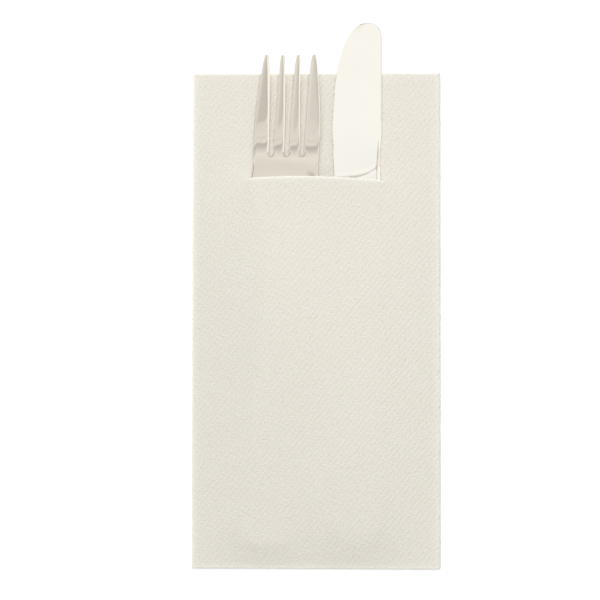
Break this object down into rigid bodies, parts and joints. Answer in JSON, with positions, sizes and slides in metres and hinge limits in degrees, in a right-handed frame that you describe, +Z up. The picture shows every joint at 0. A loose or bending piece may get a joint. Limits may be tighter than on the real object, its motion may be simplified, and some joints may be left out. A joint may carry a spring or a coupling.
{
  "type": "cutlery pouch napkin",
  "caption": "Paper napkin folded into a flat rectangular pouch, its front slit holding a table fork and a table knife that stand out of the top.",
  "frame": {"origin": "on the table under the middle of the folded napkin, which lies on its back", "axes": "+X across the napkin, +Y along it from the closed bottom fold to the open top with the cutlery, +Z up out of the slit front"},
  "size_m": [0.1006, 0.2208, 0.0147],
  "materials": {
    "napkin_paper": "embossed matt paper",
    "fork_steel": "polished",
    "knife_steel": "polished"
  },
  "bodies": {
    "root": {"napkin": "napkin_paper", "fork": "fork_steel", "knife": "knife_steel"}
  },
  "joints": []
}
